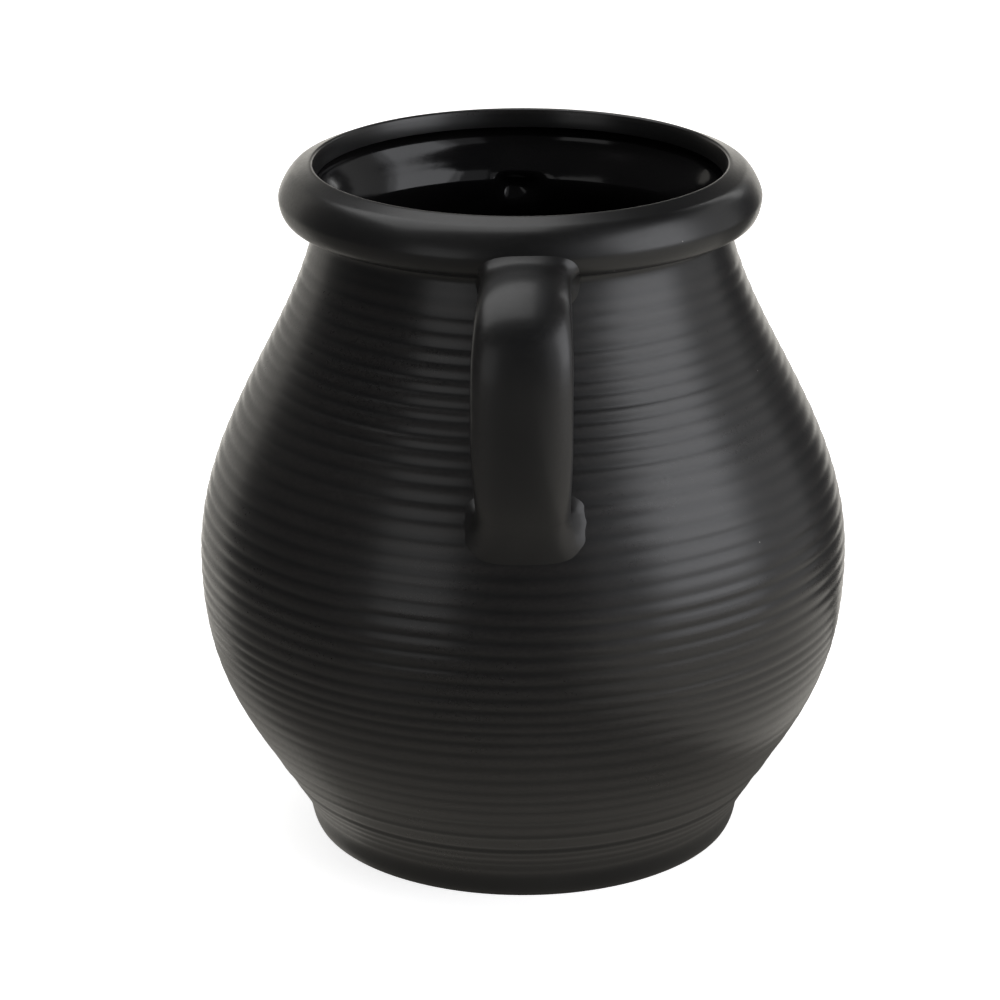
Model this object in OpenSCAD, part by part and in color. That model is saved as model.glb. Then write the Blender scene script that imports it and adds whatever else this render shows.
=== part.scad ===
// Black clay pot with a rolled lip, a short neck, fine turning ribs and two strap handles.
// Millimetres, +Z up. The origin is the middle of the foot's underside, and the front handle
// points towards -Y. Each clay member that the potter joins to the next is a node of its own.

/* [Body] */
// Radius of the belly, the widest part of the body
belly_r = 105; // [100:1:110]
// Height of the belly above the ground
belly_h = 92.8; // [90:0.2:96]
// Thickness of the clay wall
wall = 4.8; // [4:0.2:5.4]

/* [Foot] */
// Radius of the foot band where the wall leaves it
foot_r = 71.7; // [69:0.1:74]
// Height of the foot band
foot_h = 8.8; // [7:0.2:10]
// Radius of the recess under the foot, and of the clay disc that closes it
recess_r = 61; // [56:1:63]
// Height of the recess under the pot
recess_h = 3.2; // [2:0.2:4]

/* [Neck and lip] */
// Outer radius of the neck at its narrowest
neck_r = 66.4; // [65:0.1:68]
// Height of the foot of the neck, where the ribbed shoulder ends
neck_h = 199.5; // [197:0.5:202]
// Outer radius of the rolled lip
lip_r = 76.3; // [75.5:0.1:78]
// Radius of the mouth, at the cut inner edge of the lip
mouth_r = 64.9; // [64:0.1:66]
// Overall height, at the lip's inner edge, which is its highest point
pot_h = 222.6; // [222:0.2:224]

/* [Ribs] */
// Height of a turning rib from trough to crest
rib_depth = 0.6; // [0.2:0.1:1]
// Number of fine ribs from the belly up to the neck
shoulder_ribs = 22; // [16:1:26]
// Number of fine ribs from the belly down to the broad ribs
belly_ribs = 12; // [8:1:14]
// Number of broad ribs between them and the foot
broad_ribs = 4; // [2:1:5]

/* [Handles] */
// Width of the strap where it leaves the neck
strap_top_w = 27; // [24:0.5:30]
// Width of the strap over its lower half
strap_w = 30; // [28:0.5:32]
// Thickness of the strap
strap_t = 9.5; // [8:0.5:11]
// Distance from the pot's axis to the middle of the strap at its furthest out
strap_reach = 106.5; // [104:0.5:110]

/* [Hidden] */
$fn = 96;
clay = [0.13, 0.13, 0.14];
glaze = [0.07, 0.07, 0.08];
slip = [0.1, 0.1, 0.11];

// Points sampled on each smooth curve, and points drawn on each rib
curve_steps = 60;
lip_steps = 8;
points_per_rib = 4;
// Broad ribs near the foot are this far apart along the wall
broad_pitch = 8.15;
// Stretch of plain wall, a little under the neck, that has no ribs
plain_band = 7.2;
// Spacing of points on the smooth inside of the wall
inside_step = 6;
// Stretch of wall, up from the foot, that the fillet between the wall and the floor takes
fillet_run = 12;
// Points drawn on the fillet, and on the narrowing below the throat
fillet_steps = 6;
// Edge bevel under the foot
foot_bevel = 0.9;
// How much smaller the foot band's radius is at the ground than at its top
foot_taper = 1.3;

// Seam where the lip's roll sits on the neck, the roll's widest point, the point where it runs
// into the lip's sloping top, and the lower end of the face that ends the lip inside the mouth
lip_seam = [lip_r - 4.3, pot_h - 17.5];
lip_widest = [lip_r, pot_h - 10.5];
lip_top = [lip_r - 5.7, pot_h - 1.7];
lip_cut = [mouth_r, pot_h - 6];
// Rounding of the inner edge, which starts where the top's slope ends
lip_round = 2.4;
lip_slope = 18;
// Inner radius of the neck at its foot, where the clay is a little thicker than the wall
throat_r = neck_r - wall - 0.1;
// Inner radius of the seam under the lip, where the throat opens like a funnel
lip_inner_seam_r = throat_r + 2.5;
// Stretch of the shoulder, down from the neck, over which its inside narrows to the throat
throat_run = 16;

// Each curve below is its start, the two points that steer it and its end, as
// [distance from the axis, height].
// Smooth outside of the body, without its ribs: two curves that meet upright at the belly
lower_curve = [[foot_r, foot_h], [foot_r + 19.8, foot_h + 32.4], [belly_r, belly_h - 39.4],
    [belly_r, belly_h]];
shoulder_curve = [[belly_r, belly_h], [belly_r, belly_h + 41], [neck_r + 8.6, neck_h - 35.2],
    [neck_r, neck_h]];
// Outside of the neck, and of the lip below and above its widest point
neck_curve = [[neck_r, neck_h], [neck_r - 0.8, neck_h + 3.5], [neck_r + 0.2, lip_seam[1] - 0.2],
    lip_seam];
lip_under_curve = [lip_seam, lip_seam + [3.6, 0], lip_widest - [0, 1.9], lip_widest];
lip_over_curve = [lip_widest, lip_widest + [-0.2, 2.1], lip_top + [2.6, -0.9], lip_top];
// Inside of the neck and of the hollow behind the lip
throat_curve = [[throat_r, neck_h], [throat_r + 0.6, neck_h + 1.9], [throat_r + 1.6, neck_h + 4],
    [lip_inner_seam_r, lip_seam[1]]];
hollow_curve = [[lip_inner_seam_r, lip_seam[1]], [lip_inner_seam_r + 2.5, lip_seam[1] + 5],
    [mouth_r + 6.1, lip_cut[1] - 1.8], lip_cut];

// Handle: middle of the strap at its start, at its furthest out and at its end, and the
// direction it is heading at its end, where 0 is outwards and 90 is up
strap_start = [81, 206.6];
strap_crown = [strap_reach, 184];
strap_end = [99, 139.5];
strap_end_angle = 225;
upper_bend = [strap_start, [strap_start[0] + 13, strap_start[1]], [strap_reach, 200],
    strap_crown];
lower_bend = [strap_crown, [strap_reach, 168], strap_end + [6.2, 6.2], strap_end];
strap_steps = 12;
// Rounding of the strap's long edges, and points drawn on each rounded corner
strap_corner = 3.6;
corner_points = 4;
// Clay wads that join the strap to the pot: size, place and tilt of each at the wall
upper_wad = [35, 22];
upper_wad_at = [60, 202.5];
lower_wad = [39, 23];
lower_wad_at = [93.4, 134.6];
lower_wad_tilt = 23;
wad_corner = 7;
// Thickness of the plates that a wad is stretched between
skin = 0.1;
// Hollows pressed into the inside of the wall behind each strap end
press_r = 14.3;
upper_press = [50.2, 198];
lower_press = [78.6, 131];

// Point at t, from 0 to 1, on a curve with two end points and two handles
function bezier(p, t) = pow(1 - t, 3) * p[0] + 3 * t * pow(1 - t, 2) * p[1]
    + 3 * t * t * (1 - t) * p[2] + pow(t, 3) * p[3];
function trace(p, steps) = [for (i = [0:steps]) bezier(p, i / steps)];

function backwards(points) = [for (i = [len(points) - 1:-1:0]) points[i]];

// Distance along a line of points to each of them
function runs(points) = [for (d = 0, i = 0; i < len(points);
    d = d + (i + 1 < len(points) ? norm(points[i + 1] - points[i]) : 0), i = i + 1) d];

// Point a distance d along a line of points, and the outward direction there
function along(points, run, d) = [
    lookup(d, [for (i = [0:len(points) - 1]) [run[i], points[i][0]]]),
    lookup(d, [for (i = [0:len(points) - 1]) [run[i], points[i][1]]])];
function outward(points, run, d) =
    let (step = along(points, run, d + 1) - along(points, run, d - 1))
    [step[1], -step[0]] / norm(step);
function inset(points, run, d) = along(points, run, d) - wall * outward(points, run, d);

lower_line = trace(lower_curve, curve_steps);
lower_run = runs(lower_line);
lower_length = lower_run[curve_steps];
shoulder_line = trace(shoulder_curve, curve_steps);
shoulder_run = runs(shoulder_line);
shoulder_length = shoulder_run[curve_steps];

// Pitch of the fine ribs on each side of the belly, where both start with a crest
belly_pitch = (lower_length - broad_ribs * broad_pitch) / belly_ribs;
shoulder_pitch = (shoulder_length - plain_band) / shoulder_ribs;

// Distance below the belly of a rib counted from there, which need not be a whole number
function below_belly(rib) = min(rib, belly_ribs) * belly_pitch
    + max(rib - belly_ribs, 0) * broad_pitch;
// Wall's outer point where a rib swells or sinks it
function ribbed(points, run, d, rib) = along(points, run, d)
    + rib_depth / 2 * cos(360 * rib) * outward(points, run, d);

// Outside of each wall, from its bottom edge upwards
lower_outside = concat([lower_curve[0]],
    [for (i = [(belly_ribs + broad_ribs) * points_per_rib - 1:-1:0])
        let (rib = i / points_per_rib)
        ribbed(lower_line, lower_run, lower_length - below_belly(rib), rib)]);
shoulder_outside = concat(
    [for (i = [0:shoulder_ribs * points_per_rib])
        let (rib = i / points_per_rib)
        ribbed(shoulder_line, shoulder_run, rib * shoulder_pitch, rib)],
    [shoulder_curve[3]]);
neck_outside = trace(neck_curve, lip_steps);
lip_outside = concat(trace(lip_under_curve, lip_steps), trace(lip_over_curve, lip_steps));
lip_inner_edge = [for (a = [90 - lip_slope:18:180])
    [mouth_r, pot_h] + lip_round * [1 + cos(a), sin(a) - 1]];

// Inside of the two walls, from the top edge downwards
fillet_curve = [inset(lower_line, lower_run, fillet_run),
    inset(lower_line, lower_run, fillet_run / 3), [recess_r + fillet_run / 2, foot_h],
    [recess_r, foot_h]];
lower_inside = concat(
    [for (d = [lower_length:-inside_step:fillet_run + 2]) inset(lower_line, lower_run, d)],
    trace(fillet_curve, fillet_steps));
throat_low = inset(shoulder_line, shoulder_run, shoulder_length - throat_run);
throat_low_curve = [[throat_r, neck_h], [throat_r - 1.4, neck_h - 4.5], throat_low + [-2.1, 5.5],
    throat_low];
shoulder_inside = concat(trace(throat_low_curve, fillet_steps),
    [for (d = [shoulder_length - throat_run - inside_step:-inside_step:inside_step / 2])
        inset(shoulder_line, shoulder_run, d)],
    [[belly_r - wall, belly_h]]);

// Solid body of clay without its hollow, used to shape what is pressed against the wall
module body_block(outline) {
    rotate_extrude()
        polygon(concat([[0, outline[0][1]]], outline, [[0, outline[len(outline) - 1][1]]]));
}

// Hollow pressed from inside behind the ends of both straps
module press_hollows(place) {
    for (side = [-1, 1])
        translate([0, side * place[0], place[1]])
            sphere(r = press_r);
}

module foot_ring() {
    color(clay) rotate_extrude()
        polygon([[recess_r, foot_bevel], [recess_r + foot_bevel, 0],
            [foot_r - foot_taper - foot_bevel, 0], [foot_r - foot_taper, foot_bevel],
            [foot_r, foot_h], [recess_r, foot_h]]);
}

module base_disc() {
    color(glaze) translate([0, 0, recess_h])
        cylinder(r = recess_r, h = foot_h - recess_h);
}

module lower_wall() {
    color(clay) rotate_extrude() polygon(concat(lower_outside, lower_inside));
}

module shoulder_wall() {
    color(clay) difference() {
        rotate_extrude() polygon(concat(shoulder_outside, shoulder_inside));
        press_hollows(upper_press);
        press_hollows(lower_press);
    }
}

module neck_collar() {
    color(clay) difference() {
        rotate_extrude()
            polygon(concat(neck_outside, backwards(trace(throat_curve, lip_steps))));
        press_hollows(upper_press);
    }
}

module lip_roll() {
    color(clay) rotate_extrude()
        polygon(concat(lip_outside, lip_inner_edge, backwards(trace(hollow_curve, lip_steps))));
}

// Rounded oblong, w across and t deep, as points
function oblong(w, t, corner) = [for (quarter = [0:3], i = [0:corner_points - 1])
    let (a = 90 * (quarter + i / (corner_points - 1)),
        sx = quarter == 0 || quarter == 3 ? 1 : -1,
        sy = quarter < 2 ? 1 : -1)
    [sx * (w / 2 - corner) + corner * cos(a), sy * (t / 2 - corner) + corner * sin(a)]];

// Strap swept along its two bends. Each station holds the middle, the heading and the width.
strap_path = concat(trace(upper_bend, strap_steps),
    [for (i = [1:strap_steps]) bezier(lower_bend, i / strap_steps)]);
function heading(i) = i == 0 ? 0 : i == len(strap_path) - 1 ? strap_end_angle
    : let (step = strap_path[i + 1] - strap_path[i - 1])
        (atan2(step[1], step[0]) + 360) % 360;
function strap_width(i) = strap_top_w + (strap_w - strap_top_w) * min(1, 2 * i / len(strap_path));
// Points of the strap's cross-section at station i, in the pot's own frame
function strap_ring(i) = let (a = heading(i), middle = strap_path[i])
    [for (p = oblong(strap_width(i), strap_t, strap_corner))
        [p[0], -(middle[0] - p[1] * sin(a)), middle[1] + p[1] * cos(a)]];

module strap() {
    ring = 4 * corner_points;
    last = len(strap_path) - 1;
    polyhedron(
        points = [for (i = [0:last], p = strap_ring(i)) p],
        faces = concat([[for (j = [ring - 1:-1:0]) j]],
            [for (i = [0:last - 1], j = [0:ring - 1], half = [0:1])
                let (a = i * ring + j, b = i * ring + (j + 1) % ring)
                half == 0 ? [a, b, b + ring] : [a, b + ring, a + ring]],
            [[for (j = [0:ring - 1]) last * ring + j]]));
}

// Thin plate of rounded outline, facing away from the pot's axis, tilted up by a turn about X
module plate(place, size, corner, tilt) {
    translate([0, -place[0], place[1]])
        rotate([90 - tilt, 0, 0])
        linear_extrude(skin)
        polygon(oblong(size[0], size[1], corner));
}

module upper_joint() {
    difference() {
        hull() {
            plate([strap_start[0] - skin, strap_start[1]], [strap_top_w, strap_t],
                strap_corner, 0);
            plate(upper_wad_at, upper_wad, wad_corner, 0);
        }
        body_block(concat(shoulder_outside, neck_outside, lip_outside));
    }
}

module lower_joint() {
    tilt = 270 - strap_end_angle;
    difference() {
        hull() {
            plate(strap_end + skin * [cos(strap_end_angle), sin(strap_end_angle)],
                [strap_w, strap_t], strap_corner, tilt);
            plate(lower_wad_at, lower_wad, wad_corner, lower_wad_tilt);
        }
        body_block(shoulder_outside);
    }
}

module front_handle() { color(clay) strap(); }
module front_upper_joint() { color(slip) upper_joint(); }
module front_lower_joint() { color(slip) lower_joint(); }
module rear_handle() { color(clay) mirror([0, 1, 0]) strap(); }
module rear_upper_joint() { color(slip) mirror([0, 1, 0]) upper_joint(); }
module rear_lower_joint() { color(slip) mirror([0, 1, 0]) lower_joint(); }

foot_ring();
base_disc();
lower_wall();
shoulder_wall();
neck_collar();
lip_roll();
front_handle();
front_upper_joint();
front_lower_joint();
rear_handle();
rear_upper_joint();
rear_lower_joint();
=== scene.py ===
"""Looks of the black clay pot: every clay member is rebuilt as a fine closed mesh in the frame."""
import math

import bpy
import numpy as np
from mathutils import Matrix, Vector


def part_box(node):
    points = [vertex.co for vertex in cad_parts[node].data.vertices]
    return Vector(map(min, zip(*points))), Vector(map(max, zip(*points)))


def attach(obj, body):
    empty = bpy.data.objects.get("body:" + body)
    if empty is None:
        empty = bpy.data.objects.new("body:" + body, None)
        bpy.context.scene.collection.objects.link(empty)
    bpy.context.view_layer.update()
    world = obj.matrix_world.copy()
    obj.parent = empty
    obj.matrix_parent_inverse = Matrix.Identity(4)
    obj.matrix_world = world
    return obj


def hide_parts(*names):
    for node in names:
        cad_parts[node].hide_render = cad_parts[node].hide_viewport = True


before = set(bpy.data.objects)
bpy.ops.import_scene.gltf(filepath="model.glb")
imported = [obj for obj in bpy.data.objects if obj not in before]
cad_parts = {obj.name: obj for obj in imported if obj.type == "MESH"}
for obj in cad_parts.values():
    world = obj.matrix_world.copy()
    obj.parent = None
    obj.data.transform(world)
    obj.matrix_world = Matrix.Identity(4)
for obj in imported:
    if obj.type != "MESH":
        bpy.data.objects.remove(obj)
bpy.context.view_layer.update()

MM = 0.001


# ---------------------------------------------------------------- sizes, in mm, from the frame

def bottom(node):
    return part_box(node)[0].z / MM


def top(node):
    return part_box(node)[1].z / MM


def half_width(node):
    low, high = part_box(node)
    return (high.x - low.x) / 2 / MM


WALL = 4.8                          # thickness of the wall
CAD_RIB = 0.4                       # how far the CAD's rib crests stand out, and 0.1 to spare
FOOT_R = half_width("foot_ring")
FOOT_H = top("foot_ring")
FOOT_SIDE_R = FOOT_R - 1.3          # radius of the foot band at the ground
FOOT_BAND_R = FOOT_R - 0.5          # and where the band bends outwards a little
FOOT_BAND_H = FOOT_H * 0.6
RECESS_R = half_width("base_disc")
RECESS_H = bottom("base_disc")
BELLY_R = half_width("shoulder_wall") - CAD_RIB
BELLY_H = top("lower_wall")
SEAM_R = half_width("neck_collar")  # outside, where the neck meets the lip
SEAM_H = top("neck_collar")
NECK_R = SEAM_R - 5.6
NECK_H = bottom("neck_collar")
LIP_R = half_width("lip_roll")
POT_H = top("lip_roll")
MOUTH_R = LIP_R - 11.4
CUT_H = POT_H - 6                   # lower edge of the lip's inner face
FACE_R = MOUTH_R - 0.5              # radius of that edge
THROAT_R = NECK_R - WALL - 0.1      # inside, at the foot of the neck
INNER_SEAM_R = THROAT_R + 2.5       # inside, where the neck meets the lip
STRAP_W = half_width("front_handle") * 2
STRAP_TOP_W = STRAP_W - 3
STRAP_T = 9.5
STRAP_REACH = -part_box("front_handle")[0].y / MM - STRAP_T / 2
STRAP_TOP_H = top("front_handle") - STRAP_T / 2

SEGMENTS = 288                      # points round the pot
AROUND = np.linspace(0, 2 * math.pi, SEGMENTS, endpoint=False)


# ---------------------------------------------------------------- soft steps and unevenness

def ramp(value, start, end):
    """Goes evenly from 0 to 1 while value goes from start to end."""
    return np.clip((value - start) / (end - start), 0, 1)


def eased(value, start, end):
    """Goes softly from 0 to 1 while value goes from start to end."""
    share = ramp(value, start, end)
    return share * share * (3 - 2 * share)


def hump(value, middle, reach):
    """1 where value is at the middle, falling to 0 on both sides."""
    return np.exp(-((value - middle) / reach) ** 2)


def swell(angle, run, count, reach, size, seed):
    """Slow unevenness, as a sum of a few waves over points given by angle and distance."""
    draw = np.random.default_rng(seed)
    total = 0
    for _ in range(count):
        turns = draw.integers(1, 7)
        wave = draw.uniform(0.4, 1.0) / reach
        total = total + np.cos(turns * angle + 2 * math.pi * wave * run + draw.uniform(0, 6.3))
    return size * total / math.sqrt(count)


# ---------------------------------------------------------------- lines, as (distance, height)

def bezier(points, t):
    p = np.asarray(points, float)
    t = np.asarray(t, float)[:, None]
    u = 1 - t
    return u ** 3 * p[0] + 3 * t * u ** 2 * p[1] + 3 * t ** 2 * u * p[2] + t ** 3 * p[3]


def runs(line):
    """Distance along a line to each of its points."""
    return np.concatenate([[0], np.cumsum(np.linalg.norm(np.diff(line, axis=0), axis=1))])


def spaced(line, step):
    """The same line with its points about one step apart."""
    run = runs(line)
    at = np.linspace(0, run[-1], max(2, round(run[-1] / step) + 1))
    return np.stack([np.interp(at, run, column) for column in line.T], 1)


def curve(points, step):
    return spaced(bezier(points, np.linspace(0, 1, 400)), step)


def straight(start, end, step=0.6):
    return spaced(np.array([start, end], float), step)


def arc(centre, radius, start, end, count=7):
    """Points on a quarter round, from one angle to another, in degrees."""
    angle = np.radians(np.linspace(start, end, count))
    return np.stack([centre[0] + radius * np.cos(angle), centre[1] + radius * np.sin(angle)], 1)


def joined(*lines):
    """One line from several, each of which starts where the last one ends."""
    return np.concatenate([lines[0]] + [line[1:] for line in lines[1:]])


def stacked(parts):
    """One line from named parts, and the rows that each part takes, both ends included."""
    rows, at = {}, 0
    for name, line in parts:
        rows[name] = slice(at, at + len(line))
        at += len(line) - 1
    return joined(*[line for _, line in parts]), rows


def smoothed(line, times):
    """A line or grid with its rows eased towards their neighbours. Both ends stay."""
    for _ in range(times):
        line = np.concatenate([line[:1], (line[:-2] + 2 * line[1:-1] + line[2:]) / 4, line[-1:]])
    return line


def headings(line):
    """Unit directions along a line."""
    step = np.gradient(line, runs(line), axis=0)
    return step / np.linalg.norm(step, axis=1, keepdims=True)


def outward(line):
    """Directions at a right angle to an upward line, away from the pot's axis."""
    step = headings(line)
    return np.stack([step[:, 1], -step[:, 0]], 1)


# ---------------------------------------------------------------- grids and spans
# A grid is rows of points that close on themselves. A span is (grid, normals, material, wear).

def turned(line, lift=0.0):
    """Grid of a line turned round the pot's axis, with each point lifted off the wall."""
    away = outward(line)
    lift = np.broadcast_to(lift, (len(line), SEGMENTS))
    r = line[:, :1] + lift * away[:, :1]
    z = line[:, 1:] + lift * away[:, 1:]
    return np.stack([r * np.sin(AROUND), -r * np.cos(AROUND), z], -1)


def grid_normals(grid):
    along = np.gradient(grid, runs(grid[:, 0]), axis=0)
    around = np.roll(grid, -1, 1) - np.roll(grid, 1, 1)
    normal = np.cross(around, along)
    return normal / np.maximum(np.linalg.norm(normal, axis=-1, keepdims=True), 1e-12)


def unworn_span(grid, material):
    return grid, grid_normals(grid), material, np.zeros(grid.shape[:2])


def turned_span(line, material):
    return unworn_span(turned(line), material)


def bridge(low, high, material):
    """Flat span from one row to another, such as the face where two members meet."""
    return unworn_span(np.stack([low, high]), material)


def mirrored(spans):
    """The same spans on the other side of the pot."""
    flip = np.array([1, -1, 1])
    return [(grid[:, ::-1] * flip, normals[:, ::-1] * flip, material, worn[:, ::-1])
            for grid, normals, material, worn in spans]


# ---------------------------------------------------------------- mesh building

POINT_SIZE = 1e-9                   # a row smaller than this is one point


def numbered_rows(spans, closed):
    """Points and wear of the spans' rows, and the point numbers of each row."""
    points, wear, row_ids = [], [], []
    count = 0
    for index, (grid, _, _, worn) in enumerate(spans):
        for row in range(min(index, 1), len(grid)):
            if closed and index == len(spans) - 1 and row == len(grid) - 1:
                row_ids.append(row_ids[0])
                continue
            ring, ring_wear = grid[row], worn[row]
            ids = np.arange(count, count + len(ring))
            if np.ptp(ring, axis=0).max() < POINT_SIZE:
                ids = np.full(len(ring), count)
                ring, ring_wear = ring[:1], np.full(1, ring_wear.mean())
            points.append(ring)
            wear.append(ring_wear)
            row_ids.append(ids)
            count += len(ring)
    return np.concatenate(points), np.concatenate(wear), row_ids


def row_faces(low, high, low_normals, high_normals):
    """Faces between two rows of point numbers, and the normals at their corners."""
    ids = np.stack([low, np.roll(low, -1), np.roll(high, -1), high], 1)
    turn = np.stack([low_normals, np.roll(low_normals, -1, 0),
                     np.roll(high_normals, -1, 0), high_normals], 1)
    if low[0] == low[1]:
        return ids[:, 1:], turn[:, 1:]
    if high[0] == high[1]:
        return ids[:, :3], turn[:, :3]
    return ids, turn


def make_piece(name, node, spans, closed=True):
    """A closed mesh that stands for a node. Each span starts on the row where the last one ends,
    and in a closed piece the last row is the first one again."""
    points, wear, row_ids = numbered_rows(spans, closed)
    faces, corners, paint = [], [], []
    at = 0
    for grid, normals, material, _ in spans:
        for row in range(len(grid) - 1):
            ids, turn = row_faces(row_ids[at + row], row_ids[at + row + 1],
                                  normals[row], normals[row + 1])
            faces.extend(ids.tolist())
            corners.append(turn.reshape(-1, 3))
            paint.extend([material] * len(ids))
        at += len(grid) - 1
    mesh = bpy.data.meshes.new(name)
    mesh.from_pydata((points * MM).tolist(), [], faces)
    mesh.shade_smooth()
    used = sorted(set(paint), key=lambda material: material.name)
    for material in used:
        mesh.materials.append(material)
    mesh.polygons.foreach_set("material_index", [used.index(material) for material in paint])
    attribute = mesh.attributes.new("wear", "FLOAT", "POINT")
    attribute.data.foreach_set("value", wear.astype(np.float32))
    mesh.normals_split_custom_set(np.concatenate(corners).tolist())
    piece = bpy.data.objects.new(name, mesh)
    bpy.context.scene.collection.objects.link(piece)
    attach(piece, "root")
    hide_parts(node)


# ---------------------------------------------------------------- shader nodes, in metres

def nodes_of(name):
    material = bpy.data.materials.new(name)
    material.use_nodes = True
    tree = material.node_tree
    return material, tree, tree.nodes["Principled BSDF"]


def add(tree, kind, **settings):
    node = tree.nodes.new(kind)
    for key, value in settings.items():
        setattr(node, key, value)
    return node


def noise(tree, where, per_metre, detail, stretch=(1, 1, 1)):
    """Noise with so many features per metre. stretch below 1 lengthens them along an axis."""
    mapping = add(tree, "ShaderNodeMapping")
    mapping.inputs["Scale"].default_value = stretch
    tree.links.new(where, mapping.inputs["Vector"])
    node = add(tree, "ShaderNodeTexNoise")
    node.inputs["Scale"].default_value = per_metre
    node.inputs["Detail"].default_value = detail
    tree.links.new(mapping.outputs["Vector"], node.inputs["Vector"])
    return node.outputs["Fac"]


def ranged(tree, value, low, high, start=0.3, end=0.7):
    """value, from start to end, brought to the range from low to high."""
    node = add(tree, "ShaderNodeMapRange", clamp=True)
    tree.links.new(value, node.inputs["Value"])
    for key, number in (("From Min", start), ("From Max", end), ("To Min", low), ("To Max", high)):
        node.inputs[key].default_value = number
    return node.outputs["Result"]


def math_node(tree, operation, a, b):
    """Result of an operation on a and b, each a number or a socket."""
    node = add(tree, "ShaderNodeMath", operation=operation)
    for socket, value in zip(node.inputs, (a, b)):
        if isinstance(value, (int, float)):
            socket.default_value = value
        else:
            tree.links.new(value, socket)
    return node.outputs[0]


def mixed(tree, factor, a, b):
    """Colour between a and b, each a colour or a socket."""
    node = add(tree, "ShaderNodeMix", data_type="RGBA")
    tree.links.new(factor, node.inputs["Factor"])
    for key, value in (("A", a), ("B", b)):
        socket = next(s for s in node.inputs if s.name == key and s.type == "RGBA")
        if isinstance(value, tuple):
            socket.default_value = (*value, 1)
        else:
            tree.links.new(value, socket)
    return next(s for s in node.outputs if s.type == "RGBA")


def bumped(tree, height, distance, below=None):
    """Normal of a surface raised by height times distance, over the normal below it."""
    node = add(tree, "ShaderNodeBump")
    node.inputs["Strength"].default_value = 1
    node.inputs["Distance"].default_value = distance
    tree.links.new(height, node.inputs["Height"])
    if below is not None:
        tree.links.new(below, node.inputs["Normal"])
    return node.outputs["Normal"]


def specks(tree, where, spacing, size, share):
    """1 inside small round specks, scattered over a share of the cells of the given spacing."""
    cells = add(tree, "ShaderNodeTexVoronoi")
    cells.inputs["Scale"].default_value = 1 / spacing
    tree.links.new(where, cells.inputs["Vector"])
    radius = size / spacing
    dot = ranged(tree, cells.outputs["Distance"], 1, 0, start=radius * 0.5, end=radius)
    split = add(tree, "ShaderNodeSeparateColor")
    tree.links.new(cells.outputs["Color"], split.inputs["Color"])
    chosen = math_node(tree, "LESS_THAN", split.outputs[0], share)
    return math_node(tree, "MULTIPLY", dot, chosen)


def object_space(tree):
    return add(tree, "ShaderNodeTexCoord").outputs["Object"]


# ---------------------------------------------------------------- materials

CLAY_IOR = 1.5
COAT_DARK = (0.0040, 0.0040, 0.0042)
COAT_PALE = (0.0066, 0.0064, 0.0063)
COAT_WORN = (0.024, 0.0215, 0.020)
COAT_SPECK = (0.22, 0.21, 0.20)
GLAZE_DARK = (0.0045, 0.0045, 0.005)
GLAZE_PALE = (0.0085, 0.0080, 0.0080)
CLAY_DARK = (0.016, 0.0155, 0.015)
CLAY_PALE = (0.034, 0.032, 0.030)
CLAY_RUBBED = (0.075, 0.070, 0.064)


def satin_black(name, rough):
    """Outside of the pot: a satin black coat with fine grain, turning lines and a few specks."""
    material, tree, shader = nodes_of(name)
    where = object_space(tree)
    cloud = noise(tree, where, per_metre=26, detail=3)
    grain = noise(tree, where, per_metre=900, detail=1)
    lines = noise(tree, where, per_metre=620, detail=1, stretch=(0.02, 0.02, 1))
    worn = add(tree, "ShaderNodeAttribute", attribute_name="wear").outputs["Fac"]
    dots = specks(tree, where, spacing=0.012, size=0.00028, share=0.3)
    colour = mixed(tree, ranged(tree, cloud, 0, 1), COAT_DARK, COAT_PALE)
    edges = math_node(tree, "MULTIPLY", worn, ranged(tree, grain, 0.5, 1))
    colour = mixed(tree, edges, colour, COAT_WORN)
    colour = mixed(tree, dots, colour, COAT_SPECK)
    tree.links.new(colour, shader.inputs["Base Color"])
    gloss = math_node(tree, "ADD", ranged(tree, cloud, rough - 0.03, rough + 0.04),
                      ranged(tree, grain, -0.03, 0.03))
    gloss = math_node(tree, "SUBTRACT", gloss, math_node(tree, "MULTIPLY", worn, 0.05))
    tree.links.new(gloss, shader.inputs["Roughness"])
    fine = bumped(tree, grain, distance=0.000005)
    turning = bumped(tree, lines, distance=0.00002, below=fine)
    raised = bumped(tree, dots, distance=0.00004, below=turning)
    tree.links.new(raised, shader.inputs["Normal"])
    shader.inputs["IOR"].default_value = CLAY_IOR
    shader.inputs["Specular IOR Level"].default_value = 0.4
    shader.inputs["Coat Weight"].default_value = 0.2
    shader.inputs["Coat Roughness"].default_value = 0.2
    return material


def gloss_black(name):
    """Inside of the pot: a glossy black glaze with a soft waviness and a few pinholes."""
    material, tree, shader = nodes_of(name)
    where = object_space(tree)
    cloud = noise(tree, where, per_metre=30, detail=3)
    peel = noise(tree, where, per_metre=260, detail=2)
    holes = specks(tree, where, spacing=0.010, size=0.0003, share=0.2)
    colour = mixed(tree, ranged(tree, cloud, 0, 1), GLAZE_DARK, GLAZE_PALE)
    tree.links.new(colour, shader.inputs["Base Color"])
    tree.links.new(ranged(tree, cloud, 0.09, 0.17), shader.inputs["Roughness"])
    wavy = bumped(tree, peel, distance=0.000025)
    pitted = bumped(tree, holes, distance=-0.00008, below=wavy)
    tree.links.new(pitted, shader.inputs["Normal"])
    shader.inputs["IOR"].default_value = CLAY_IOR
    shader.inputs["Specular IOR Level"].default_value = 0.32
    return material


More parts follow.
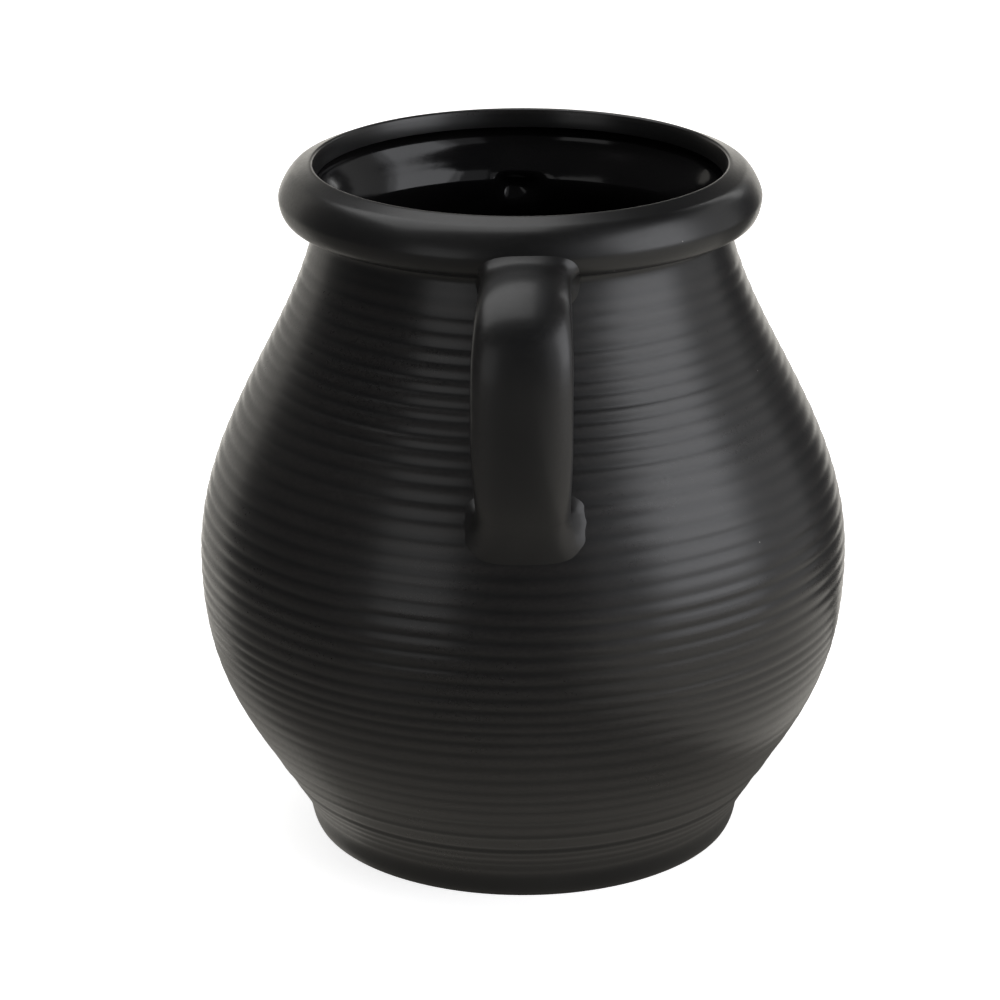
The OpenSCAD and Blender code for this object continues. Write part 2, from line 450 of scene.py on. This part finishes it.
def bare_clay(name):
    """Wiped underside of the foot: dry dark clay with a coarse grain and rubbed patches."""
    material, tree, shader = nodes_of(name)
    where = object_space(tree)
    cloud = noise(tree, where, per_metre=60, detail=4)
    grit = noise(tree, where, per_metre=1800, detail=4)
    scuffs = noise(tree, where, per_metre=220, detail=3, stretch=(1, 0.15, 1))
    colour = mixed(tree, ranged(tree, cloud, 0, 1), CLAY_DARK, CLAY_PALE)
    rubbed = ranged(tree, scuffs, 0, 0.5, start=0.55, end=0.7)
    tree.links.new(mixed(tree, rubbed, colour, CLAY_RUBBED), shader.inputs["Base Color"])
    tree.links.new(ranged(tree, grit, 0.62, 0.85), shader.inputs["Roughness"])
    tree.links.new(bumped(tree, grit, distance=0.00008), shader.inputs["Normal"])
    return material


SATIN = satin_black("satin_black", rough=0.33)
STRAP_SATIN = satin_black("satin_black_strap", rough=0.40)
GLOSS = gloss_black("gloss_black")
BARE = bare_clay("bare_clay")


# ---------------------------------------------------------------- lines of the body

LOWER_CURVE = [(FOOT_R, FOOT_H), (FOOT_R + 19.8, FOOT_H + 32.4), (BELLY_R, BELLY_H - 39.4),
               (BELLY_R, BELLY_H)]
SHOULDER_CURVE = [(BELLY_R, BELLY_H), (BELLY_R, BELLY_H + 41), (NECK_R + 8.6, NECK_H - 35.2),
                  (NECK_R, NECK_H)]
NECK_CURVE = [(NECK_R, NECK_H), (NECK_R - 0.8, NECK_H + 3.5), (NECK_R + 0.2, SEAM_H - 0.2),
              (SEAM_R, SEAM_H)]
LIP_WIDEST = (LIP_R, POT_H - 10.5)
LIP_TOP = (LIP_R - 5.7, POT_H - 1.7)
UNDER_CURVE = [(SEAM_R, SEAM_H), (SEAM_R + 3.6, SEAM_H), (LIP_R, POT_H - 12.4), LIP_WIDEST]
OVER_CURVE = [LIP_WIDEST, (LIP_R - 0.2, POT_H - 8.4), (LIP_R - 3.1, POT_H - 2.6), LIP_TOP]
HOLLOW_CURVE = [(FACE_R, CUT_H), (MOUTH_R + 6.1, CUT_H - 1.8), (INNER_SEAM_R + 2.5, SEAM_H + 5),
                (INNER_SEAM_R, SEAM_H)]
THROAT_CURVE = [(INNER_SEAM_R, SEAM_H), (THROAT_R + 1.6, NECK_H + 4),
                (THROAT_R + 0.6, NECK_H + 1.9), (THROAT_R, NECK_H)]

LOWER_LINE = curve(LOWER_CURVE, 0.6)
SHOULDER_LINE = curve(SHOULDER_CURVE, 0.6)
LOWER_RUN = runs(LOWER_LINE)[-1]
SHOULDER_RUN = runs(SHOULDER_LINE)[-1]
UPPER_OUTLINE = joined(SHOULDER_LINE, curve(NECK_CURVE, 0.3), curve(UNDER_CURVE, 0.3),
                       curve(OVER_CURVE, 0.3))


def wall_radius(height):
    """Mean radius of the outside at a height, from the belly to the top of the lip."""
    return np.interp(height, UPPER_OUTLINE[:, 1], UPPER_OUTLINE[:, 0])


# ---------------------------------------------------------------- ribs
# They are counted from the belly: up is positive, down is negative.

RIB_DEPTH = 0.21                    # from a rib's crest to the groove beside it
RIB_MEAN = 0.45                     # share of that depth that lies over the mean wall
BROAD_PITCH = 8.15                  # of the ribs near the foot
FINE_PITCH = 4.62                   # of the ribs below the belly
TOP_PITCH = 4.87                    # of the ribs above the belly
LAST_RIB = -18
FIRST_BROAD = -13                   # the broad ribs are the ones below this one
TOP_RIB = 26                        # past the neck, where the ribs have faded out
BELLY_RIB_AT = 0.8                  # distance of rib 0 above the belly
PITCH_SHIFTS = ((-7, 2.5, 3.0), (12, 4.4, 3.4))     # near which rib, reach in ribs, and shift
# Lines near the foot: distance above it along the wall, reach, and height (a groove is negative)
FOOT_LINES = ((20.5, 1.1, 0.20), (13.4, 0.8, -0.20), (11.6, 0.8, 0.16), (8.6, 0.9, 0.14),
              (5.4, 0.9, 0.14), (1.5, 0.9, 0.10), (27.5, 1.2, -0.14))


def rib_places():
    """Distance from the belly of each rib's crest, in steps of a tenth of a rib. The pitch
    wanders, as it does under a hand."""
    count = np.arange(LAST_RIB, TOP_RIB, 0.1)
    fine = FINE_PITCH * np.maximum(count, FIRST_BROAD)
    broad = BROAD_PITCH * np.minimum(count - FIRST_BROAD, 0)
    place = np.where(count < 0, fine + broad, TOP_PITCH * count) + BELLY_RIB_AT
    for rib, reach, shift in PITCH_SHIFTS:
        place += shift * hump(count, rib, reach)
    return count, place


def rib_lift(run):
    """Height of the ribs over the mean wall, at distances run above the belly, and how near to
    a crest each point is."""
    count, place = rib_places()
    number = np.interp(run, place, count) + swell(AROUND, run, count=4, reach=90, size=0.05, seed=21)
    valley = (0.5 - 0.5 * np.cos(2 * math.pi * number)) ** 1.5
    every_other = 1 - 0.22 * np.cos(math.pi * number)
    in_threes = np.sin(math.pi * (number - FIRST_BROAD) / 3) ** 2
    broad = 1 - 0.45 * in_threes * (number < FIRST_BROAD)
    uneven = 1 + swell(AROUND, run, count=6, reach=14, size=0.16, seed=22)
    over_foot = run + LOWER_RUN
    fade_top = ramp(SHOULDER_RUN - run, 3, 9)
    fade_low = 0.30 + 0.70 * ramp(over_foot, 45, 80)
    fade_foot = ramp(over_foot, 26, 32)
    depth = RIB_DEPTH * every_other * broad * uneven * fade_top * fade_low * fade_foot
    lift = depth * (RIB_MEAN - valley)
    for at, reach, size in FOOT_LINES:
        lift = lift + size * hump(over_foot, at, reach)
    return lift, 1 - valley


# ---------------------------------------------------------------- the body's two surfaces

LIP_ROUND = 0.9                     # rounding of the lip's inner edge
LIP_SLOPE = 18                      # of the lip's top towards that edge, in degrees
LIP_TURN = 165                      # direction in which the rounding ends, in degrees
FOOT_ROUND = 0.8                    # rounding of the foot's edges on the ground
SEAM_ROWS = 30                      # rows above the foot that are eased into it
SEAM_PASSES = 80
LIP_LEAN = 0.5                      # how far the lip sits off the body's axis, to the left
RIM_WEAR = 0.4
CREST_WEAR = 0.4
LEAST_WALL = 1.2                    # clay left behind the pressed hollows
HOLLOW_LEFT = (-9.5, -4.5)          # where a hollow's left side begins and ends, from the middle
HOLLOW_RIGHT = (-3, 10.5)           # and its gentler right side
HOLLOW_LOW_RUN = 7                  # heights over which its lower and upper side rise
HOLLOW_HIGH_RUN = 4
UPPER_HOLLOW = (NECK_H - 10, NECK_H + 3, 3.9)       # lowest, highest, and depth
LOWER_HOLLOW = (119, 143, 3.0)
THROAT_RUN = 16                     # of the shoulder's inside that bends up to the throat
FILLET_RUN = 12                     # of the lower wall's inside that bends in to the floor
BEND_POINTS = np.linspace(0, 1, 40)


def leaned(grid):
    """The grid with its lip set off the body's axis, to the left of the front handle."""
    grid[..., 0] -= LIP_LEAN * eased(grid[..., 2], NECK_H, NECK_H + 10)
    return grid


def press(grid, low, high, depth):
    """How far the inside wall is pressed outwards behind a strap end, between two heights."""
    x, y, z = np.moveaxis(grid, -1, 0)
    across = eased(x, *HOLLOW_LEFT) * (1 - eased(x, *HOLLOW_RIGHT))
    upright = eased(z, low, low + HOLLOW_LOW_RUN) * (1 - eased(z, high - HOLLOW_HIGH_RUN, high))
    room = wall_radius(z) - LEAST_WALL - np.hypot(x, y)
    return np.clip(depth * across * upright, 0, np.maximum(room, 0))


def foot_line():
    """Outside of the foot, from the ground up to the wall."""
    return joined(arc((FOOT_SIDE_R - FOOT_ROUND, FOOT_ROUND), FOOT_ROUND, -90, 0),
                  straight((FOOT_SIDE_R, FOOT_ROUND), (FOOT_BAND_R, FOOT_BAND_H), 0.4),
                  straight((FOOT_BAND_R, FOOT_BAND_H), (FOOT_R, FOOT_H), 0.4))


def lip_line():
    """Lip from the neck's seam over the roll, round the inner edge and down the cut face."""
    centre = (MOUTH_R + 0.4 + LIP_ROUND, POT_H - LIP_ROUND)
    edge = arc(centre, LIP_ROUND, 90 - LIP_SLOPE, LIP_TURN, 14)
    face = curve([edge[-1], edge[-1] - (0.4, 1.5), (FACE_R + 0.15, CUT_H + 2), (FACE_R, CUT_H)], 0.4)
    return joined(curve(UNDER_CURVE, 0.5), curve(OVER_CURVE, 0.5), straight(LIP_TOP, edge[0]),
                  edge, face)


def outer_surface():
    """Outside, from the ground up the wall, over the lip and down its cut face."""
    line, rows = stacked([("foot", foot_line()), ("lower", LOWER_LINE),
                          ("shoulder", SHOULDER_LINE), ("neck", curve(NECK_CURVE, 0.4)),
                          ("lip", lip_line())])
    eased_rows = rows["foot"].stop - 1 + SEAM_ROWS
    line[1:eased_rows - 1] = smoothed(line[:eased_rows], SEAM_PASSES)[1:-1]
    run = runs(line)[:, None]
    foot, belly, neck = (run[rows[part].stop - 1] for part in ("foot", "lower", "shoulder"))
    lift, crest = rib_lift(run - belly)
    near = hump(np.minimum(run - foot, 0), 0, 1.5) * ramp(neck - run, 0, 4)
    slow = swell(AROUND, run, count=6, reach=110, size=0.06, seed=5)
    slow = slow * ramp(run - foot, 0, 20) * ramp(run[-1] - run, 14, 24)
    grid = leaned(turned(line, lift * near + slow))
    rim = hump(line[:, 0], MOUTH_R, 1.2) * (line[:, 1] > POT_H - 1.5)
    wear = CREST_WEAR * crest * near + RIM_WEAR * rim[:, None]
    return grid, grid_normals(grid), wear, rows


def inner_wall_lines():
    """Inside of the shoulder, from the throat down, and of the lower wall, down to the floor."""
    keep = runs(SHOULDER_LINE) < SHOULDER_RUN - THROAT_RUN
    inset = (SHOULDER_LINE - WALL * outward(SHOULDER_LINE))[keep]
    start = inset[-1]
    bend = bezier([(THROAT_R, NECK_H), (THROAT_R - 1.4, NECK_H - 4.5), start + (-2.1, 5.5), start],
                  BEND_POINTS)
    shoulder = joined(bend, inset[::-1])
    shoulder[-1] = (BELLY_R - WALL, BELLY_H)
    keep = runs(LOWER_LINE) > FILLET_RUN
    inset = (LOWER_LINE - WALL * outward(LOWER_LINE))[keep]
    start = inset[0]
    fillet = bezier([start, start - (3.2, 6.8), (RECESS_R + 6, FOOT_H), (RECESS_R, FOOT_H)],
                    BEND_POINTS)
    lower = joined(inset[::-1], fillet)
    lower[0] = (BELLY_R - WALL, BELLY_H)
    return smoothed(spaced(shoulder, 1.1), 6), smoothed(spaced(lower, 2.0), 2)


def inner_surface():
    """Inside, from the lip's cut face down the wall and in to the floor's middle."""
    shoulder, lower = inner_wall_lines()
    line, rows = stacked([("lip", curve(HOLLOW_CURVE, 0.8)), ("neck", curve(THROAT_CURVE, 0.6)),
                          ("shoulder", shoulder), ("lower", lower),
                          ("floor", straight((RECESS_R, FOOT_H), (0, FOOT_H), 2.5))])
    smooth = turned(line)
    dent = press(smooth, *UPPER_HOLLOW) + press(smooth, *LOWER_HOLLOW)
    run = runs(line)[:, None]
    floor = run[rows["floor"].start]
    slow = swell(AROUND, run, count=5, reach=60, size=0.12, seed=9)
    slow = slow * ramp(run, 6, 26) * ramp(floor - run, 0, 20)
    grid = leaned(turned(line, slow - dent))
    return grid, grid_normals(grid), np.zeros(grid.shape[:2]), rows


OUTER = outer_surface()
INNER = inner_surface()


# ---------------------------------------------------------------- the body's pieces

def surface_span(surface, part, material):
    grid, normals, wear, rows = surface
    return grid[rows[part]], normals[rows[part]], material, wear[rows[part]]


def both_sides(part):
    return surface_span(OUTER, part, SATIN), surface_span(INNER, part, GLOSS)


def wall_piece(part, node):
    """Ring of clay between two seams, from the same part of the outside and the inside."""
    outside, inside = both_sides(part)
    above = bridge(outside[0][-1], inside[0][0], SATIN)
    below = bridge(inside[0][-1], outside[0][0], SATIN)
    make_piece(f"{node}_clay", node, [outside, above, inside, below])


def lip_piece():
    outside, inside = both_sides("lip")
    below = bridge(inside[0][-1], outside[0][0], SATIN)
    make_piece("lip_roll_clay", "lip_roll", [outside, inside, below])


def foot_piece():
    """Standing ring: its outer band, the seam over it, the recess's side and the face it rests on."""
    outside = surface_span(OUTER, "foot", SATIN)
    side = straight((RECESS_R, FOOT_H), (RECESS_R, FOOT_ROUND))
    inner_edge = arc((RECESS_R + FOOT_ROUND, FOOT_ROUND), FOOT_ROUND, 180, 270)
    rest = straight((RECESS_R + FOOT_ROUND, 0), (FOOT_SIDE_R - FOOT_ROUND, 0))
    under = turned_span(joined(side, inner_edge, rest), BARE)
    seam = bridge(outside[0][-1], under[0][0], SATIN)
    make_piece("foot_ring_clay", "foot_ring", [outside, seam, under])


def base_piece():
    """Disc that closes the floor: glazed above, bare and very slightly domed below."""
    radius = np.linspace(0, RECESS_R, 30)
    dome = RECESS_H + 0.6 * (1 - (radius / RECESS_R) ** 2)
    under = turned_span(np.stack([radius, dome], 1), BARE)
    floor = surface_span(INNER, "floor", GLOSS)
    side = bridge(under[0][-1], floor[0][0], SATIN)
    make_piece("base_disc_clay", "base_disc", [under, side, floor], closed=False)


# ---------------------------------------------------------------- the strap

STRAP_POINTS = 72                   # points round the strap
SECTION_POWER = 2.1                 # of the strap's section: 2 is an ellipse, more is an oblong
FULLER = 1.3                        # how much fuller its outer face is than its inner one
STRAP_STEP = 0.9
UPPER_END = 81                      # distance from the axis where the upper wad ends
JOINT_AT = 0.93                     # share of the lower bend where the lower wad starts
CROWN_H = 184                       # height at which the strap first stands upright
WIDE_FROM = 0.4                     # share of its run by which it is at full width
NARROW_FROM = 0.75                  # share from which it narrows again
NARROWING = 0.6                     # share of the gained width that it loses by its end
WIDTH_WANDER = 0.25
THICKNESS_WANDER = 0.15
TOP_LEAN = 0.9                      # how far the strap's top leans to the right
MIDDLE_LEAN = 0.45                  # and its middle to the left
STRAP_WEAR = 0.35                   # wear along the strap's edges


def squared_round(width, height, power, angle):
    """Outline between an ellipse, at power 2, and an oblong, at high powers."""
    c, s = np.cos(angle), np.sin(angle)
    x = width / 2 * np.sign(c) * np.abs(c) ** (2 / power)
    y = height / 2 * np.sign(s) * np.abs(s) ** (2 / power)
    return np.stack([x, y], -1)


def even_angles(count):
    """Angles that give evenly spaced points round the strap's section."""
    fine = np.linspace(0, 2 * math.pi, 4001)
    run = runs(squared_round(STRAP_W, STRAP_T, SECTION_POWER, fine))
    return np.interp(np.arange(count) * run[-1] / count, run, fine)


SECTION_ANGLES = even_angles(STRAP_POINTS)


def strap_section(width, thick):
    """Section of the strap as (across, outwards)."""
    points = squared_round(width, 1, SECTION_POWER, SECTION_ANGLES)
    points[:, 1] *= thick + 2 * FULLER * np.sign(points[:, 1])
    points[:, 1] -= FULLER
    return points


def strap_line():
    """Middle of the strap from the upper wad to the lower one, as (distance, height)."""
    crown = (STRAP_REACH, CROWN_H)
    high = [(UPPER_END, STRAP_TOP_H), (UPPER_END + 13, STRAP_TOP_H), (STRAP_REACH, 200), crown]
    low = [crown, (STRAP_REACH, 167), (105.4, 144.6), (99.2, 138.4)]
    t = np.linspace(0, 1, 300)
    return spaced(joined(bezier(high, t), bezier(low, t * JOINT_AT)), STRAP_STEP)


def strap_grid(seed):
    """Grid of the front strap, and the directions along it."""
    line = strap_line()
    share = runs(line) / runs(line)[-1]
    heading = headings(line)
    heading[0] = (1, 0)
    wander = swell(0, share, count=4, reach=1.0, size=1.0, seed=seed)
    gained = np.minimum(1, share / WIDE_FROM) * (1 - NARROWING * ramp(share, NARROW_FROM, 1))
    width = STRAP_TOP_W + (STRAP_W - STRAP_TOP_W) * gained + WIDTH_WANDER * wander
    thick = STRAP_T + THICKNESS_WANDER * np.roll(wander[::-1], 1)
    lean = TOP_LEAN * (1 - share) ** 2 - MIDDLE_LEAN * np.sin(math.pi * share)
    rows = []
    for i, (middle, ahead) in enumerate(zip(line, heading)):
        shape = strap_section(width[i], thick[i])
        r = middle[0] - shape[:, 1] * ahead[1]
        z = middle[1] + shape[:, 1] * ahead[0]
        rows.append(np.stack([shape[:, 0] + lean[i], -r, z], 1))
    return np.array(rows), heading


# ---------------------------------------------------------------- the wads and the handles

# Outline of a wad on the wall: its middle's height, its size, how square it is, how deep it is
# sunk, how far it sits to the right, and 1 or -1 for the side that the strap's outer face is on
UPPER_WAD = dict(middle=203.2, width=31.6, height=20.6, power=3.4, depth=0.3, across=1.7, up=1)
LOWER_WAD = dict(middle=134.6, width=37.2, height=22, power=3.2, depth=0.3, across=0.7, up=-1)
WAD_ROWS = 22
WAD_LEAVE = 0.46                    # pull of the strap's end on the wad, as a share of its length
WAD_LAND = 0.26                     # pull of its outline on the wall
WAD_STEEP = 0.5                     # how steeply its sides rise off the wall
WAD_PASSES = 24                     # easing of the handle's rows
CAP_SINK = 0.5                      # how much deeper a wad's flat end is sunk
CAP_SHARES = (0.97, 0.8, 0.6, 0.4, 0.2, 0.0)


def on_wall(x, z, depth):
    """Points on the front of the wall, sunk by a depth."""
    r = wall_radius(z) - depth
    return np.stack([x, -np.sqrt(r * r - x * x), z], -1)


def footprint(middle, width, height, power, depth, across, up, share=1.0):
    """Outline of a wad on the wall, or of a share of its size."""
    outline = squared_round(width, height, power, SECTION_ANGLES) * share
    return on_wall(across + outline[:, 0], middle + up * outline[:, 1], depth)


def rising(outline):
    """Directions in which a wad leaves its outline: along the wall to its middle, and off it."""
    place = footprint(**outline)
    inwards = footprint(**outline, share=0.98) - place
    inwards /= np.linalg.norm(inwards, axis=1, keepdims=True)
    away = inwards + WAD_STEEP * place * (1, 1, 0) / wall_radius(outline["middle"])
    return away / np.linalg.norm(away, axis=1, keepdims=True)


def wad(ring, ahead, outline):
    """Rows from a strap end to an outline on the wall, leaving the strap straight ahead."""
    place = footprint(**outline)
    gap = np.linalg.norm(ring - place, axis=1, keepdims=True)
    t = np.linspace(0, 1, WAD_ROWS)[:, None, None]
    a, b = ring + WAD_LEAVE * gap * ahead, place + WAD_LAND * gap * rising(outline)
    return (1 - t) ** 3 * ring + 3 * t * (1 - t) ** 2 * a + 3 * t ** 2 * (1 - t) * b + t ** 3 * place


def wad_cap(outline):
    """Rows that close a wad inside the wall, from its outline to one point."""
    sunk = dict(outline, depth=outline["depth"] + CAP_SINK)
    return np.array([footprint(**sunk, share=share) for share in CAP_SHARES])


def disc(ring):
    """Flat end of a piece, from its edge to its middle."""
    return np.array([ring * (1 - t) + ring.mean(0) * t for t in (0, 0.5, 1)])


def handle(name, seed, mirror=False):
    """Strap with its two wads, each a piece of its own. They meet at flat discs."""
    strap, heading = strap_grid(seed)
    back = np.array([0, 1, 0])
    ahead = np.array([0, -heading[-1][0], heading[-1][1]])
    high = wad(strap[0], back, UPPER_WAD)[::-1]
    low = wad(strap[-1], ahead, LOWER_WAD)
    body = smoothed(np.concatenate([high[:-1], strap, low[1:]]), WAD_PASSES)
    normals = grid_normals(body)
    edge = STRAP_WEAR * hump(np.abs(np.cos(SECTION_ANGLES)), 0.8, 0.2)
    wear = np.broadcast_to(edge, body.shape[:2])
    first = len(high) - 1
    last = len(high) + len(strap) - 2

    def part(start, end):
        rows = slice(start, end + 1)
        return body[rows], normals[rows], STRAP_SATIN, wear[rows]

    def piece(node, spans):
        if mirror:
            spans = mirrored(spans)
        make_piece(f"{node}_clay", node, spans, closed=False)

    cap_high = unworn_span(np.concatenate([wad_cap(UPPER_WAD)[::-1], body[:1]]), SATIN)
    cap_low = unworn_span(np.concatenate([body[-1:], wad_cap(LOWER_WAD)]), SATIN)
    ends = [unworn_span(disc(body[row])[::step], SATIN)
            for row, step in ((first, 1), (first, -1), (last, 1), (last, -1))]
    piece(f"{name}_upper_joint", [cap_high, part(0, first), ends[0]])
    piece(f"{name}_handle", [ends[1], part(first, last), ends[2]])
    piece(f"{name}_lower_joint", [ends[3], part(last, len(body) - 1), cap_low])


foot_piece()
base_piece()
wall_piece("lower", "lower_wall")
wall_piece("shoulder", "shoulder_wall")
wall_piece("neck", "neck_collar")
lip_piece()
handle("front", seed=31)
handle("rear", seed=32, mirror=True)


# ---------------------------------------------------------------- floor, light and camera

WHITE = (1, 1, 1)
COOL = (0.955, 0.965, 1)
WARM = (1, 0.965, 0.89)
FLOOR_REACH = 4.0
FLOOR_H = -0.00005                  # just under the foot, so that the two don't flicker
FLOOR_GLOW = 0.8
FLOOR_COLOUR = (0.85, 0.84, 0.83, 1)
ROOM = (0.05, 0.05, 0.052)          # what the pot mirrors of the room
UNDER = (0.25, 0.238, 0.212)        # and of the ground below it
AIM = Vector((0, 0, 0.12))          # middle of the pot
EYE = (0, -1.0944, 0.5116)
LENS = 128.9
SENSOR = 36
SHIFT = -0.0229
PITCH = 90 - 20.23                  # degrees up from looking straight down
ROLL = -0.17


def pale_floor():
    """Plain white floor. It glows a little, and the pot doesn't mirror it."""
    mesh = bpy.data.meshes.new("floor")
    corners = ((-1, -1), (1, -1), (1, 1), (-1, 1))
    mesh.from_pydata([(x * FLOOR_REACH, y * FLOOR_REACH, FLOOR_H) for x, y in corners], [],
                     [(0, 1, 2, 3)])
    material, _, shader = nodes_of("pale_floor")
    shader.inputs["Base Color"].default_value = FLOOR_COLOUR
    shader.inputs["Roughness"].default_value = 0.9
    shader.inputs["Specular IOR Level"].default_value = 0.1
    shader.inputs["Emission Color"].default_value = (*WHITE, 1)
    shader.inputs["Emission Strength"].default_value = FLOOR_GLOW
    mesh.materials.append(material)
    floor = bpy.data.objects.new("floor", mesh)
    bpy.context.scene.collection.objects.link(floor)
    floor.visible_glossy = False
    floor.visible_shadow = False


def surroundings():
    """White for the camera, and dim for everything that the pot reflects."""
    world = bpy.data.worlds.new("studio")
    world.use_nodes = True
    tree = world.node_tree
    tree.nodes.clear()
    seen = add(tree, "ShaderNodeBackground")
    seen.inputs["Color"].default_value = (*WHITE, 1)
    dim = add(tree, "ShaderNodeBackground")
    split = add(tree, "ShaderNodeSeparateXYZ")
    tree.links.new(add(tree, "ShaderNodeTexCoord").outputs["Generated"], split.inputs["Vector"])
    below = ranged(tree, split.outputs["Z"], 1, 0, start=-0.9, end=-0.1)
    tree.links.new(mixed(tree, below, ROOM, UNDER), dim.inputs["Color"])
    path = add(tree, "ShaderNodeLightPath")
    mix = add(tree, "ShaderNodeMixShader")
    tree.links.new(path.outputs["Is Camera Ray"], mix.inputs["Fac"])
    tree.links.new(dim.outputs["Background"], mix.inputs[1])
    tree.links.new(seen.outputs["Background"], mix.inputs[2])
    tree.links.new(mix.outputs["Shader"], add(tree, "ShaderNodeOutputWorld").inputs["Surface"])
    bpy.context.scene.world = world
    bpy.context.scene.view_settings.view_transform = "Standard"


def area_light(name, place, target, size, radiance, colour):
    """Flat light of even brightness at a place, facing a target."""
    light = bpy.data.lights.new(name, "AREA")
    light.shape = "RECTANGLE"
    light.size, light.size_y = size
    light.energy = radiance * math.pi * size[0] * size[1]
    light.color = colour
    lamp = bpy.data.objects.new(name, light)
    lamp.location = place
    back = Vector(place) - Vector(target)
    lamp.rotation_euler = back.to_track_quat("Z", "Y").to_euler()
    lamp.visible_camera = False
    bpy.context.scene.collection.objects.link(lamp)


def softbox(name, azimuth, elevation, distance, size, radiance, colour=WHITE):
    """Light aimed at the pot. Azimuth 0 is the camera's side and 90 is to the right."""
    a, e = math.radians(azimuth), math.radians(elevation)
    back = Vector((math.sin(a) * math.cos(e), -math.cos(a) * math.cos(e), math.sin(e)))
    area_light(name, AIM + back * distance, AIM, size, radiance, colour)


def lights():
    """Softboxes around the pot. The two big ones on the right overlap, for a soft edge."""
    softbox("right_box", 66, 14, 1.32, (1.15, 1.36), 1.4, COOL)
    softbox("right_core", 66, 22, 1.30, (0.80, 1.02), 1.5, COOL)
    softbox("right_spill", 32, 14, 1.3, (0.42, 1.20), 0.42, COOL)
    softbox("right_fill", 106, 12, 1.4, (0.7, 1.2), 0.52)
    softbox("left_box", -37, 9, 1.4, (0.68, 0.98), 0.68)
    area_light("overhead", (-0.44, 0.17, 1.15), (-0.44, 0.17, 0), (1.15, 1.15), 1.95, WHITE)
    softbox("left_back", -143, 0, 1.4, (1.0, 1.4), 0.55, WARM)
    softbox("left_low", -150, -38, 1.4, (1.1, 0.7), 0.28, WARM)
    softbox("backdrop", 176, -4, 1.4, (1.30, 1.1), 1.3, WARM)
    softbox("right_strip", 134, 30, 1.4, (0.11, 0.7), 3.6)
    area_light("low_right", (0.44, -0.22, -0.03), (0.44, -0.22, 1), (0.62, 0.8), 0.5, WARM)


def camera():
    """Standing in front of the handle and looking down at the pot."""
    data = bpy.data.cameras.new("camera")
    data.sensor_width = SENSOR
    data.lens = LENS
    data.shift_x = SHIFT
    eye = bpy.data.objects.new("camera", data)
    eye.location = EYE
    pitch = Matrix.Rotation(math.radians(PITCH), 3, "X")
    roll = Matrix.Rotation(math.radians(ROLL), 3, "Z")
    eye.rotation_euler = (pitch @ roll).to_euler()
    bpy.context.scene.collection.objects.link(eye)
    bpy.context.scene.camera = eye


pale_floor()
surroundings()
lights()
camera()
